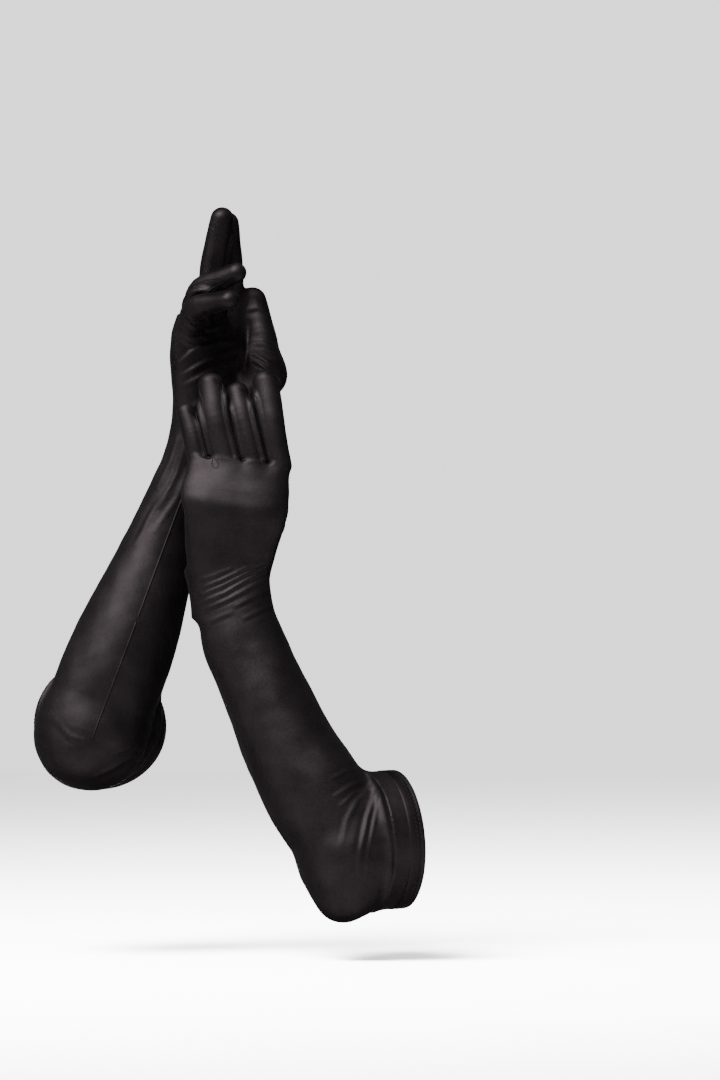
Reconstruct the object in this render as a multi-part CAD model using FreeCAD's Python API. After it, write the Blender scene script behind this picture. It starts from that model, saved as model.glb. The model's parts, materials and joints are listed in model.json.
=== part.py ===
import FreeCAD
import Part

import math
import os

# A pair of elbow-length stretch-satin opera gloves, in the shape they take on two raised, bent arms.
# The left glove's hand lies across the inside of the right glove's wrist. Nothing is inside them: every
# sleeve, hand and finger is an open shell. Millimetres, +Z up, +X to the wearer's left, +Y towards the
# wearer. The origin is the centre of the left glove's wrist.
#
# Each glove is cut from one main panel (the trank), which is split here where the arm bends: an elbow
# section, a forearm sleeve, a wrist section, a hand and four fingers. A set-in thumb, six fourchettes
# (the strips between the fingers), a turned hem at the arm opening and one long side seam complete it.

V = FreeCAD.Vector

# Driving dimensions
WALL = 1.0  # shell thickness of a single layer of cloth
HEM_WIDTH = 10.0
HEM_EXTRA = 0.6  # the turned hem stands this much proud of the single layer
SEAM_WIDTH = 3.0
SEAM_HEIGHT = 0.7
WRIST_HALF_LENGTH = 12.0  # the wrist section reaches this far each side of the wrist's centre
FOURCHETTE_DEPTH = 0.60  # a fourchette starts at this share of the finger's radius from its middle
FINGER_CLEARANCE = 1.3  # between a finger's root and the hand's edge, so that the finger can turn
CREASE_CLEARANCE = 2.1  # between the pivot of the elbow's folds and the sleeve's wall
SECTION_POINTS = 16  # points that draw each cross-section
HALF_SPACE = 160.0  # side of the cube that stands for a half space

# The forearm's cross-sections: share of the wrist-to-elbow length, half width, half thickness
FOREARM_SECTIONS = [
    (0.20, 28.5, 24.0),
    (0.36, 30.3, 28.0),
    (0.55, 33.5, 32.5),
]
WRIST_SIZE = (27.0, 20.5)
ELBOW_SLEEVE_RADIUS = 37.0

# The rounded corner over the elbow's bone: how far it stands from the elbow's centre, and its radius
ELBOW_CORNER_REACH = 24.0
ELBOW_CORNER_RADIUS = 23.5
HEM_SIDE_LENGTH = 14.0  # the elbow section is straight for this far before the hem
OPEN_END = 0.5  # a hollow is cut this much past the open end of its wall


class Finger:
    """A finger's or thumb's centre line from its root, round its bend, to the middle of its tip."""

    def __init__(self, name, root, bend, tip, radii):
        self.name = name
        self.points = [V(*root), V(*bend), V(*tip)]
        self.radii = radii


class Glove:
    """One glove's pose: where its joints are, which way its palm faces, and its sizes."""

    def __init__(self, side, **pose):
        self.side = side
        self.wrist = V(*pose["wrist"])
        self.elbow = V(*pose["elbow"])
        self.elbow_radius = pose["elbow_radius"]
        self.mouth = V(*pose["mouth"])  # centre of the arm opening
        self.mouth_axis = V(*pose["mouth_axis"]).normalize()
        self.hem_radius = pose["hem_radius"]  # inner radius of the hem
        self.palm = V(*pose["palm"]).normalize()  # the way the palm faces
        self.knuckles = V(*pose["knuckles"])  # middle of the row of finger roots
        self.hand_sections = pose["hand_sections"]
        self.thumb_base = V(*pose["thumb_base"])
        self.thumb_base_radius = pose["thumb_base_radius"]
        self.thumb = pose["thumb"]
        self.fingers = pose["fingers"]
        self.seam_side = V(*pose["seam_side"]).normalize()  # where the side seam runs

    def forearm_axis(self):
        return (self.wrist - self.elbow).normalize()

    def hand_axis(self):
        return (self.knuckles - self.wrist).normalize()

    def hem_start(self):
        """Centre of the hem's seam, where the elbow section ends."""
        return self.mouth - self.mouth_axis * HEM_WIDTH

    def crease(self):
        """The pivot of the folds inside the elbow, just clear of the hem's seam."""
        up = self.forearm_axis()
        inwards = (up - self.mouth_axis * up.dot(self.mouth_axis)).normalize()
        return self.hem_start() + inwards * (self.hem_radius + WALL + CREASE_CLEARANCE)

    def elbow_end(self):
        """Share of the wrist-to-elbow length where the forearm sleeve ends, level with the crease."""
        line = self.elbow - self.wrist
        return (self.crease() - self.wrist).dot(line) / line.dot(line)

    def across(self, axis):
        """The hand's width direction, square to an axis."""
        return axis.cross(self.palm).normalize()


LEFT = Glove(
    "left",
    wrist=(0, 0, 0),
    elbow=(90, -18, -198),
    elbow_radius=43.0,
    mouth=(124, -3, -183),
    mouth_axis=(0.922, 0.375, 0.06),
    hem_radius=49.0,
    palm=(0, 1, 0),
    knuckles=(9, 0, 86),
    hand_sections=[(35, 32.5, 17.0), (60, 36.5, 14.0), (83, 37.5, 10.5)],
    thumb_base=(16, 8, 28),
    thumb_base_radius=13.0,
    thumb=Finger("thumb", (26, 25, 47), (29, 44, 64), (18, 76, 86), (12.0, 11.5, 9.2)),
    fingers=[
        Finger("index_finger", (37.8, 3, 89), (29.9, 0, 127), (23.4, 14, 149), (8.1, 8.6, 7.8)),
        Finger("middle_finger", (20.0, 1, 89), (10.8, -2, 127), (5.0, 14, 143), (8.3, 8.6, 7.8)),
        Finger("ring_finger", (0, 0, 86), (-10.5, -2, 123), (-14.0, 12, 149), (9.0, 8.8, 7.8)),
        Finger("little_finger", (-21.2, 2, 82), (-29.2, 1, 112), (-32.3, 6, 128.5), (8.2, 7.6, 6.6)),
    ],
    seam_side=(-0.9, 0.3, 0),
)

RIGHT = Glove(
    "right",
    wrist=(-21, 46, 108),
    elbow=(-103, 28, -108),
    elbow_radius=40.0,
    mouth=(-95, 67, -104),
    mouth_axis=(0.10, 0.94, -0.33),
    hem_radius=46.0,
    palm=(0.70, -0.714, 0),
    knuckles=(-17.5, 45, 197),
    hand_sections=[(35, 30.0, 17.5), (60, 32.5, 15.0), (86, 33.0, 10.5)],
    thumb_base=(3, 52, 128),
    thumb_base_radius=15.0,
    thumb=Finger("thumb", (22, 60, 156), (25, 68, 182), (19, 74, 210), (15.0, 12.0, 9.5)),
    fingers=[
        Finger("index_finger", (0.4, 62.5, 196), (3.0, 62.5, 230), (0.0, 58.5, 263), (8.0, 8.2, 7.4)),
        Finger("middle_finger", (-11.6, 50.6, 200), (-11.5, 49.0, 236), (-7.0, 42.5, 270), (8.0, 8.2, 7.6)),
        Finger("ring_finger", (-23.6, 38.8, 197), (-20.0, 26.5, 218), (3.0, 9.0, 230), (8.0, 8.0, 7.2)),
        Finger("little_finger", (-35.4, 27.2, 190), (-30.5, 14.5, 204), (1.5, -17.5, 208), (7.6, 7.4, 6.6)),
    ],
    seam_side=(0.1, -1, 0),
)

GLOVES = [LEFT, RIGHT]


def section(centre, axis, across, half_width, half_thickness):
    """An oval wire square to an axis, its width along across."""
    wide = (across - axis * across.dot(axis)).normalize()
    thick = axis.cross(wide)
    points = []
    for i in range(SECTION_POINTS):
        turn = 2 * math.pi * i / SECTION_POINTS
        offset = wide * (half_width * math.cos(turn)) + thick * (half_thickness * math.sin(turn))
        points.append(centre + offset)
    curve = Part.BSplineCurve()
    curve.interpolate(Points=points, PeriodicFlag=True)
    return Part.Wire([curve.toShape()])


def loft(stations, grow=0.0):
    """A solid through stations of (centre, axis, across, half width, half thickness)."""
    wires = [section(*s[:3], s[3] + grow, s[4] + grow) for s in stations]
    return Part.makeLoft(wires, True, False)


def sleeve(stations):
    """A hollow tube through the stations."""
    return loft(stations).cut(loft(stations, -WALL))


def cone(start, end, radius0, radius1):
    """A round cone, or a cylinder where both radii are the same."""
    way = end - start
    if abs(radius0 - radius1) < 1e-6:
        return Part.makeCylinder(radius0, way.Length, start, way)
    return Part.makeCone(radius0, radius1, way.Length, start, way)


def limb(points, radii, grow=0.0, open_by=0.0):
    """A solid of cones and balls along points. It starts flat, open_by before the first point."""
    solids = []
    start = points[0] - (points[1] - points[0]).normalize() * open_by
    for i, end in enumerate(points[1:]):
        solids.append(cone(start, end, radii[i] + grow, radii[i + 1] + grow))
        solids.append(Part.makeSphere(radii[i + 1] + grow, end, end - start))
        start = end
    return solids[0].fuse(solids[1:]).removeSplitter()


def half_space(point, normal):
    """A large cube whose face holds the point and which lies on the normal's side of it."""
    cube = Part.makeBox(HALF_SPACE, HALF_SPACE, HALF_SPACE, V(-HALF_SPACE / 2, -HALF_SPACE / 2, 0))
    cube.Placement = FreeCAD.Placement(point, FreeCAD.Rotation(V(0, 0, 1), normal))
    return cube


def forearm_station(glove, share, half_width, half_thickness):
    """A station on the straight line from the wrist to the elbow."""
    centre = glove.wrist + (glove.elbow - glove.wrist) * share
    axis = glove.forearm_axis()
    return (centre, axis, glove.across(axis), half_width, half_thickness)


def forearm_ends(glove):
    """The forearm sleeve's two end stations: beside the wrist, and below the elbow's crease."""
    share = WRIST_HALF_LENGTH / (glove.elbow - glove.wrist).Length
    first = forearm_station(glove, share, *WRIST_SIZE)
    last = forearm_station(glove, glove.elbow_end(), ELBOW_SLEEVE_RADIUS, ELBOW_SLEEVE_RADIUS)
    return first, last


def forearm_stations(glove):
    """The sleeve's stations from the wrist section to the elbow section."""
    first, last = forearm_ends(glove)
    return [first] + [forearm_station(glove, *s) for s in FOREARM_SECTIONS] + [last]


def elbow_body(glove, grow):
    """The solid shape of the bent elbow, from the forearm sleeve to the hem."""
    centre, axis = forearm_ends(glove)[1][:2]
    hem_start = glove.hem_start()
    outwards = (axis + glove.mouth_axis).normalize() * -1
    corner = glove.elbow + outwards * ELBOW_CORNER_REACH
    ball = glove.elbow_radius + grow
    straight = glove.hem_radius + WALL + grow
    over = OPEN_END if grow else 0.0
    shapes = [
        cone(centre + axis * over, glove.elbow, ELBOW_SLEEVE_RADIUS + grow, ball),
        Part.makeSphere(ball, glove.elbow),
        cone(glove.elbow, corner, ball, ELBOW_CORNER_RADIUS + grow),
        Part.makeSphere(ELBOW_CORNER_RADIUS + grow, corner),
        cone(glove.elbow, hem_start, ball, straight),
    ]
    band_start = hem_start - glove.mouth_axis * (HEM_SIDE_LENGTH + grow)
    band_end = hem_start + glove.mouth_axis * over
    shapes.append(cone(band_start, band_end, straight, straight))
    body = shapes[0].fuse(shapes[1:])
    body = body.cut(half_space(band_end, glove.mouth_axis))
    return body.cut(half_space(centre + axis * over, axis))


def make_elbow(glove):
    """The elbow section, open at both ends."""
    return elbow_body(glove, 0.0).cut(elbow_body(glove, -WALL))


def make_hem(glove):
    """The turned hem: a straight round band at the arm opening."""
    start, end = glove.hem_start(), glove.mouth
    radius = glove.hem_radius
    outer = cone(start, end, radius + WALL + HEM_EXTRA, radius + WALL + HEM_EXTRA)
    inner = cone(start, end, radius, radius)
    return outer.cut(inner)


def hand_station(glove, distance, half_width, half_thickness):
    """A station at a distance from the wrist towards the knuckles."""
    axis = glove.hand_axis()
    return (glove.wrist + axis * distance, axis, glove.across(axis), half_width, half_thickness)


def make_wrist(glove):
    """The section of sleeve that folds at the wrist."""
    axis = (glove.hand_axis() + glove.forearm_axis()).normalize()
    middle = (glove.wrist, axis, glove.across(axis), WRIST_SIZE[0] - 0.5, WRIST_SIZE[1] - 0.5)
    hand_end = hand_station(glove, WRIST_HALF_LENGTH, *WRIST_SIZE)
    return sleeve([forearm_ends(glove)[0], middle, hand_end])


def make_hand(glove):
    """The palm and back of the hand with the swell below the thumb, open to the wrist and fingers."""
    stations = [hand_station(glove, WRIST_HALF_LENGTH, *WRIST_SIZE)]
    stations += [hand_station(glove, *s) for s in glove.hand_sections]
    outer = loft(stations).fuse(thumb_swell(glove, 0.0))
    inner = loft(stations, -WALL).fuse(thumb_swell(glove, -WALL))
    wrist_end = glove.wrist + glove.hand_axis() * WRIST_HALF_LENGTH
    hand = outer.cut(inner).cut(half_space(wrist_end, glove.hand_axis() * -1))
    for finger in glove.fingers + [glove.thumb]:
        root, bend = finger.points[:2]
        hand = hand.cut(Part.makeSphere(finger.radii[0] + FINGER_CLEARANCE, root))
        hand = hand.cut(limb(finger.points, finger.radii, grow=FINGER_CLEARANCE))
    return hand


def thumb_swell(glove, grow):
    """The swell below the thumb: a cone with a ball at its buried end."""
    start, end = glove.thumb_base, glove.thumb.points[0]
    radius0, radius1 = glove.thumb_base_radius + grow, glove.thumb.radii[0] + grow
    return cone(start, end, radius0, radius1).fuse(Part.makeSphere(radius0, start))


def finger_side(glove, finger):
    """The direction a finger's hinge points: across the finger, square to the palm's direction."""
    chord = (finger.points[2] - finger.points[0]).normalize()
    return chord.cross(glove.palm).normalize()


def make_finger_shell(finger):
    """A closed-ended hollow finger, open at its root."""
    outer = limb(finger.points, finger.radii)
    inner = limb(finger.points, finger.radii, grow=-WALL, open_by=OPEN_END)
    return outer.cut(inner)


def cut_fourchette(glove, finger, shell, direction):
    """Splits a strip off the side of a finger that faces another finger."""
    side = finger_side(glove, finger) * direction
    middle = (finger.points[0] + finger.points[1] + finger.points[2]) * (1 / 3)
    face = middle + side * (finger.radii[1] * FOURCHETTE_DEPTH)
    strip = shell.common(half_space(face, side))
    return strip, shell.cut(strip)


def make_side_seam(glove):
    """The raised ridge of the long seam along the forearm."""
    ridge = loft(forearm_stations(glove), SEAM_HEIGHT).cut(loft(forearm_stations(glove)))
    axis = glove.forearm_axis()
    side = (glove.seam_side - axis * glove.seam_side.dot(axis)).normalize()
    length = (glove.elbow - glove.wrist).Length
    slab = Part.makeBox(HALF_SPACE, SEAM_WIDTH, length, V(0, -SEAM_WIDTH / 2, 0))
    turn = FreeCAD.Rotation(side, axis.cross(side), axis, "ZXY")
    slab.Placement = FreeCAD.Placement(glove.elbow, turn)
    return ridge.common(slab)


def build_glove(glove):
    """All of a glove's pieces by name."""
    pieces = {
        "hem": make_hem(glove),
        "elbow_section": make_elbow(glove),
        "forearm_sleeve": sleeve(forearm_stations(glove)),
        "wrist_section": make_wrist(glove),
        "hand": make_hand(glove),
        "thumb": make_finger_shell(glove.thumb),
        "side_seam": make_side_seam(glove),
    }
    last = len(glove.fingers) - 1
    for i, finger in enumerate(glove.fingers):
        shell = make_finger_shell(finger)
        towards_index, towards_little = finger_sides(glove, i)
        if i > 0:
            strip, shell = cut_fourchette(glove, finger, shell, towards_index)
            pieces[finger.name + "_inner_fourchette"] = strip
        if i < last:
            strip, shell = cut_fourchette(glove, finger, shell, towards_little)
            pieces[finger.name + "_outer_fourchette"] = strip
        pieces[finger.name] = shell
    return {glove.side + "_" + name: shape for name, shape in pieces.items()}


def finger_sides(glove, i):
    """+1 or -1 along the finger's hinge for the side that faces the index and the little finger."""
    row = glove.fingers[-1].points[0] - glove.fingers[0].points[0]
    towards_little = 1 if finger_side(glove, glove.fingers[i]).dot(row) > 0 else -1
    return -towards_little, towards_little


def main():
    os.makedirs("parts", exist_ok=True)
    for glove in GLOVES:
        for name, shape in sorted(build_glove(glove).items()):
            if not shape.isValid() or not shape.Solids:
                print("invalid:", name)
            print(f"{name}: {len(shape.Solids)} solid, {shape.Volume:.0f} mm3")
            shape.exportStep(f"parts/{name}.step")


main()
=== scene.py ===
"""A pair of black stretch-satin opera gloves, shaped as on two raised arms with the hands crossed.

Each glove is one smooth skin, made as a field of rounded limbs and meshed, then given its folds and its
cloth thickness, and cut where the joints are. Hems, seams and stitches are laid on that skin.
Shapes are worked out in millimetres in the CAD's frame, and written to Blender in metres.
"""

import json
import math

import bpy
import numpy as np
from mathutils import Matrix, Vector
from mathutils.bvhtree import BVHTree


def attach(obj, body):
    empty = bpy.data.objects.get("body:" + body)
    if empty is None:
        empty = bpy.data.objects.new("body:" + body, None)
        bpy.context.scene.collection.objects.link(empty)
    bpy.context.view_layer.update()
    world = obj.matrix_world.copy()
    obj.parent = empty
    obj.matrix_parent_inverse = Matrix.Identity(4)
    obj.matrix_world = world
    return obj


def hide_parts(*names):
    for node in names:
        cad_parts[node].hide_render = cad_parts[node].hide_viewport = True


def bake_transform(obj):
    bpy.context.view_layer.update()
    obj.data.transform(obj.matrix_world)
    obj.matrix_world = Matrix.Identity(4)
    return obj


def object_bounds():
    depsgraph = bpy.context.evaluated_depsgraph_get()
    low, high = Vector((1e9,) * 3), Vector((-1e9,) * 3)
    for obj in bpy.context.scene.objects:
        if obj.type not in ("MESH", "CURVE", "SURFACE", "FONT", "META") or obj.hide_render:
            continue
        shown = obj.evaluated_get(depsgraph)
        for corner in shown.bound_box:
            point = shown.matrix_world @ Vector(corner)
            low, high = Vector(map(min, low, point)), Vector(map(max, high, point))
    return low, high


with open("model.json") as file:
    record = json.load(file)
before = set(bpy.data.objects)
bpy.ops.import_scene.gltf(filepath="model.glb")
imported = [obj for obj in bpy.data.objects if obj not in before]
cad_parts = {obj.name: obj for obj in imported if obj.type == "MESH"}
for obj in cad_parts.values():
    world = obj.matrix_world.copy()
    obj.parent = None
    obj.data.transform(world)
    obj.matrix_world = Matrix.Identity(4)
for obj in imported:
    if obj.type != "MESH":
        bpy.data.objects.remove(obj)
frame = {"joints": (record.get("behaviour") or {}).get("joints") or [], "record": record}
cad_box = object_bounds()

MM = 0.001
GRID_STEP = 1.1  # mm between the samples of the skin's field
BLOCK = 6  # samples in a block of the field that is worked out, or skipped, at once
CLOTH = 0.6  # mm, thickness of the satin
HEM_WIDTH = 10.0  # mm
STRIP_LEAN = 0.78  # how squarely a finger's side faces its neighbour where it is a fourchette
HEM_OVERLAP = 2.0  # mm that the hem band covers of the sleeve's edge
HEM_CLOTH = 0.9  # mm, thickness of one side of the turned hem
BAND_OUT = 1.0  # mm that the sleeve's last straight band stands outside the opening's clear radius
FOREARM_SHARE = 0.26  # share of the way from wrist to elbow where the hand's piece ends
ELBOW_SHARE = 0.62  # and where the elbow's piece begins
WELT = 0.42  # mm, radius of a finger seam's welt
SIDE_WELT = 0.85  # mm, radius of the side seam's welt
BEND_LENGTH = 12.0  # mm of a finger over which it takes up its bend
FAR = 99.0  # a field value that stands for anywhere well away from a surface
BACK = np.array([0.0, -1.0, 0.0])  # the way from the gloves to the viewer

JOINTS = {j["name"]: j for j in frame["joints"]}
MOUNTS = {m["name"]: m for m in frame["record"]["mounts"]}
FINGERS = ["index_finger", "middle_finger", "ring_finger", "little_finger"]


def unit(v):
    v = np.asarray(v, float)
    return v / np.linalg.norm(v)


def joint_at(name):
    """A joint's place in millimetres."""
    return np.array(JOINTS[name]["pos_m"]) / MM


# ---------------------------------------------------------------- shape tables


class Digit:
    """A finger or thumb: bend and tip from its joint, in mm, and radii at root, bend and tip."""

    def __init__(self, joint, bend, tip, radii, palm, wide=1.0, shift=(0, 0, 0), sunk=10.0, heel=None):
        self.root = joint_at(joint) + np.array(shift, float)
        self.bend = self.root + np.array(bend, float)
        self.tip = self.root + np.array(tip, float)
        self.radii = radii
        self.wide = wide  # how much wider than thick
        self.across = unit(np.cross(self.along(), unit(palm)))
        self.back = np.cross(self.across, self.along())
        inwards = self.root - self.bend if heel is None else heel - self.root
        self.start = self.root + unit(inwards) * sunk  # inside the hand
        self.line, self.sizes = self.curve(6)
        margin = 34.0  # beyond it the finger is too far away to matter
        self.low = np.min(self.line, 0) - margin
        self.high = np.max(self.line, 0) + margin

    def field(self, p):
        near = ((p > self.low) & (p < self.high)).all(1)
        f = np.full(len(p), FAR)
        q = p[near]
        nearest = np.full(len(q), FAR)
        for a, b, r0, r1 in zip(self.line[:-1], self.line[1:], self.sizes[:-1], self.sizes[1:]):
            nearest = np.minimum(nearest, bone(q, a, b, r0, r1, self.across, self.wide))
        f[near] = nearest
        return f

    def curve(self, steps):
        """The centre line from inside the hand to the tip, rounded at the bend, and the radius along it."""
        a, b = self.root + (self.bend - self.root) * 0.62, self.bend
        c = self.bend + (self.tip - self.bend) * 0.38
        line = [self.start, self.root]
        sizes = [self.radii[0], self.radii[0]]
        for t in np.linspace(0, 1, steps):
            line.append((1 - t) ** 2 * a + 2 * t * (1 - t) * b + t**2 * c)
            if t < 0.5:
                sizes.append(np.interp(t, [-0.6, 0.5], self.radii[:2]))
            else:
                sizes.append(np.interp(t, [0.5, 1.3], self.radii[1:]))
        line.append(self.tip)
        sizes.append(self.radii[2])
        return line, sizes

    def centre(self, share):
        """The point of the centre line at a share of the way from the joint to the tip."""
        low, high = np.linalg.norm(self.bend - self.root), np.linalg.norm(self.tip - self.bend)
        there = share * (low + high)
        if there < low:
            return self.root + (self.bend - self.root) * there / low
        return self.bend + (self.tip - self.bend) * (there - low) / high

    def along(self):
        return unit(self.bend - self.root)


class Tube:
    """A straight tube of oval section.

    Knots are (distance, offset wide, offset thick, half wide, half thick).
    """

    def __init__(self, start, axis, wide, knots, squareness=2.0):
        self.start = start
        self.axis = unit(axis)
        self.wide = unit(wide - self.axis * (wide @ self.axis))
        self.thick = np.cross(self.axis, self.wide)
        knots = np.array(knots, float)
        self.ends = knots[0, 0], knots[-1, 0]
        self.along = np.linspace(*self.ends, 120)
        self.sizes = [smooth_curve(knots[:, 0], knots[:, i], self.along) for i in range(1, 5)]
        self.squareness = squareness

    def field(self, p):
        q = p - self.start
        s = q @ self.axis
        off_u, off_v, a, b = [np.interp(s, self.along, size) for size in self.sizes]
        u, v = q @ self.wide - off_u, q @ self.thick - off_v
        n = self.squareness
        ratio = (np.abs(u / a) ** n + np.abs(v / b) ** n) ** (1 / n) + 1e-6
        side = np.hypot(u, v) * (1 - 1 / ratio)
        over = np.maximum(self.ends[0] - s, s - self.ends[1])
        beyond = np.hypot(np.maximum(side, 0), over)
        return np.where(over > 0, beyond, np.maximum(side, over))


def smooth_curve(xs, ys, x):
    """A smooth curve through the points (xs, ys), read at x."""
    slope = np.gradient(ys, xs)
    i = np.clip(np.searchsorted(xs, x) - 1, 0, len(xs) - 2)
    h = xs[i + 1] - xs[i]
    t = (x - xs[i]) / h
    return (
        (2 * t**3 - 3 * t**2 + 1) * ys[i]
        + (t**3 - 2 * t**2 + t) * h * slope[i]
        + (3 * t**2 - 2 * t**3) * ys[i + 1]
        + (t**3 - t**2) * h * slope[i + 1]
    )


def smooth_min(a, b, k):
    """The union of two fields with a fillet of about k mm."""
    h = np.clip(0.5 + 0.5 * (b - a) / k, 0.0, 1.0)
    return b + (a - b) * h - k * h * (1.0 - h)


def bone(p, start, end, r0, r1, across=None, wide=1.0):
    """The field of a rounded cone from start to end, wide times as wide along across as it is thick."""
    way = end - start
    t = np.clip((p - start) @ way / max(way @ way, 1e-9), 0.0, 1.0)
    gap = p - start - t[:, None] * way
    reach = (gap**2).sum(1)
    if across is not None:
        reach = reach - (gap @ across) ** 2 * (1 - 1 / wide**2)
    return np.sqrt(reach) - (r0 + (r1 - r0) * t)


def ball(p, centre, radius):
    return np.linalg.norm(p - centre, axis=1) - radius


class Glove:
    """One glove's shape, from its joints and its tables of sizes."""

    def __init__(
        self, side, palm, hand_up, forearm_knots, hand_knots, digits, extras, elbow_radius, corner_shift
    ):
        self.side = side
        self.palm = unit(palm)
        self.wrist = joint_at(side + "_wrist")
        self.elbow = joint_at(side + "_elbow")
        self.up = unit(hand_up)
        mount = MOUNTS[side + "_arm_opening"]
        self.mouth_axis = unit(mount["axis"])
        self.hem_radius = mount["dims"]["r_mm"]
        self.mouth = np.array(mount["pos_m"]) / MM + self.mouth_axis * mount["dims"]["length_mm"] / 2
        self.hem_start = self.mouth - self.mouth_axis * HEM_WIDTH
        self.down = unit(self.elbow - self.wrist)
        self.reach = np.linalg.norm(self.elbow - self.wrist)
        across = np.cross(self.palm, self.down)
        self.forearm = Tube(self.wrist, self.down, across, forearm_knots)
        self.hand = Tube(self.wrist, self.up, np.cross(self.up, self.palm), hand_knots, 2.3)
        self.digits = digits
        self.extras = extras  # rounded cones of the hand: the swell below the thumb and the web
        self.elbow_radius = elbow_radius
        self.corner = self.elbow + unit(self.down - self.mouth_axis) * 24.0 + corner_shift

    def digit_fields(self, p):
        return {name: digit.field(p) for name, digit in self.digits.items()}

    def sleeve_field(self, p):
        """The forearm, the bent elbow and the straight band that the hem finishes."""
        fillet, corner_radius = 8.0, 21.5
        f = smooth_min(self.forearm.field(p), ball(p, self.elbow, self.elbow_radius), fillet)
        f = smooth_min(f, bone(p, self.elbow, self.corner, self.elbow_radius - 6, corner_radius), fillet)
        outer = self.hem_radius + BAND_OUT
        cuff = bone(p, self.elbow, self.hem_start, self.elbow_radius - 2, outer - 3.0)
        away = (p - self.hem_start) @ self.mouth_axis
        radial = np.linalg.norm(p - self.hem_start - away[:, None] * self.mouth_axis, axis=1)
        band_start, band_end = -14.0, 12.0
        band = np.maximum(radial - outer, np.maximum(band_start - away, away - band_end))
        near_hem = np.clip((away + 26.0) / 20.0, 0.0, 1.0)
        cuff = cuff + 6.0 * near_hem**2  # leaves the hem's end to the straight band
        f = smooth_min(f, cuff, 10.0)
        return smooth_min(f, band, fillet)

    def hand_field(self, p):
        hand = self.hand.field(p)
        for start, end, r0, r1, fillet in self.extras:
            hand = smooth_min(hand, bone(p, start, end, r0, r1), fillet)
        digits = self.digit_fields(p)
        thumb = digits.pop("thumb")
        fingers = np.minimum.reduce(list(digits.values()))
        return smooth_min(smooth_min(hand, fingers, 5.0), thumb, 9.0)

    def field(self, p):
        """The whole glove. Each half is worked out only where it can matter."""
        below = (p - self.wrist) @ self.down
        f = np.full(len(p), FAR)
        sleeve, hand = below > -45.0, below < 55.0
        f[sleeve] = self.sleeve_field(p[sleeve])
        f[hand] = smooth_min(f[hand], self.hand_field(p[hand]), 12.0)
        return f


def make_left():
    wrist = joint_at("left_wrist")
    palm = (0, 1, 0)
    heel = wrist + np.array([2.0, -2.0, 0.0])  # where the bones of the hand meet
    palm_heel = {"palm": palm, "heel": heel}
    digits = {
        "index_finger": Digit(
            "left_index_finger_bend", (-6.7, 3, 37), (-10.8, 11, 62), (7.8, 8.7, 8.6),
            wide=1.12, shift=(-0.4, -3, 0), sunk=20.0, **palm_heel,
        ),
        "middle_finger": Digit(
            "left_middle_finger_bend", (-9.4, 3, 37), (-13.0, 13, 54), (7.9, 7.8, 7.2),
            wide=1.10, shift=(-1.0, -2.5, 0), sunk=20.0, **palm_heel,
        ),
        "ring_finger": Digit(
            "left_ring_finger_bend", (-9.3, 3, 37), (-13.4, 11, 63.6), (8.5, 8.4, 7.4),
            wide=1.20, shift=(-0.8, -2, 0), sunk=20.0, **palm_heel,
        ),
        "little_finger": Digit(
            "left_little_finger_bend", (-6.4, 3, 30), (-11.8, 8, 47), (7.4, 7.1, 6.6),
            wide=1.06, shift=(1.0, -1.5, 0), sunk=18.0, **palm_heel,
        ),
        "thumb": Digit("left_thumb_spread", (3, 19, 17), (-8, 51, 39), (12.0, 11.2, 8.8), palm, sunk=0.0),
    }
    base = wrist + np.array([15.0, 7.0, 26.0])
    thumb = digits["thumb"]
    web = digits["index_finger"].root + np.array([-6.0, 6.0, -18.0])
    extras = [
        (base, thumb.root, 13.5, 12.0, 12.0),
        (thumb.root + thumb.along() * 8, web, 7.0, 8.0, 14.0),
    ]
    return Glove(
        "left",
        palm=palm,
        hand_up=(0.104, 0, 0.9946),
        forearm_knots=[
            (-24, 1.0, 0, 23.0, 12.0),
            (-8, -0.2, 0, 25.6, 15.8),
            (10, 2.4, 0, 27.6, 18.0),
            (34, 6.5, 0, 29.6, 22.5),
            (68, 7.5, 0, 30.5, 27.0),
            (115, 8.0, 0, 33.6, 31.5),
            (157, 4.6, 0, 37.4, 35.5),
            (185, 0.5, 0, 38.6, 37.0),
            (214, -3.0, 0, 36.5, 36.0),
        ],
        hand_knots=[
            (-24, 1.5, 0, 23.0, 12.0),
            (-8, 0.2, 0, 25.9, 14.6),
            (8, 0.1, 1, 27.2, 14.6),
            (21, 1.4, 3, 31.6, 14.4),
            (42, 0.6, 6.4, 35.6, 14.2),
            (54, 0.6, 8.4, 37.6, 13.4),
            (60, 1.7, 8.6, 39.1, 12.8),
            (70, 2.8, 6.6, 39.1, 11.6),
            (80, 2.8, 4.4, 37.0, 9.6),
            (92, 2.8, 3.0, 33.0, 6.0),
        ],
        digits=digits,
        extras=extras,
        elbow_radius=38.5,
        corner_shift=np.array([4.0, 0.0, -4.0]),
    )


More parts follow.
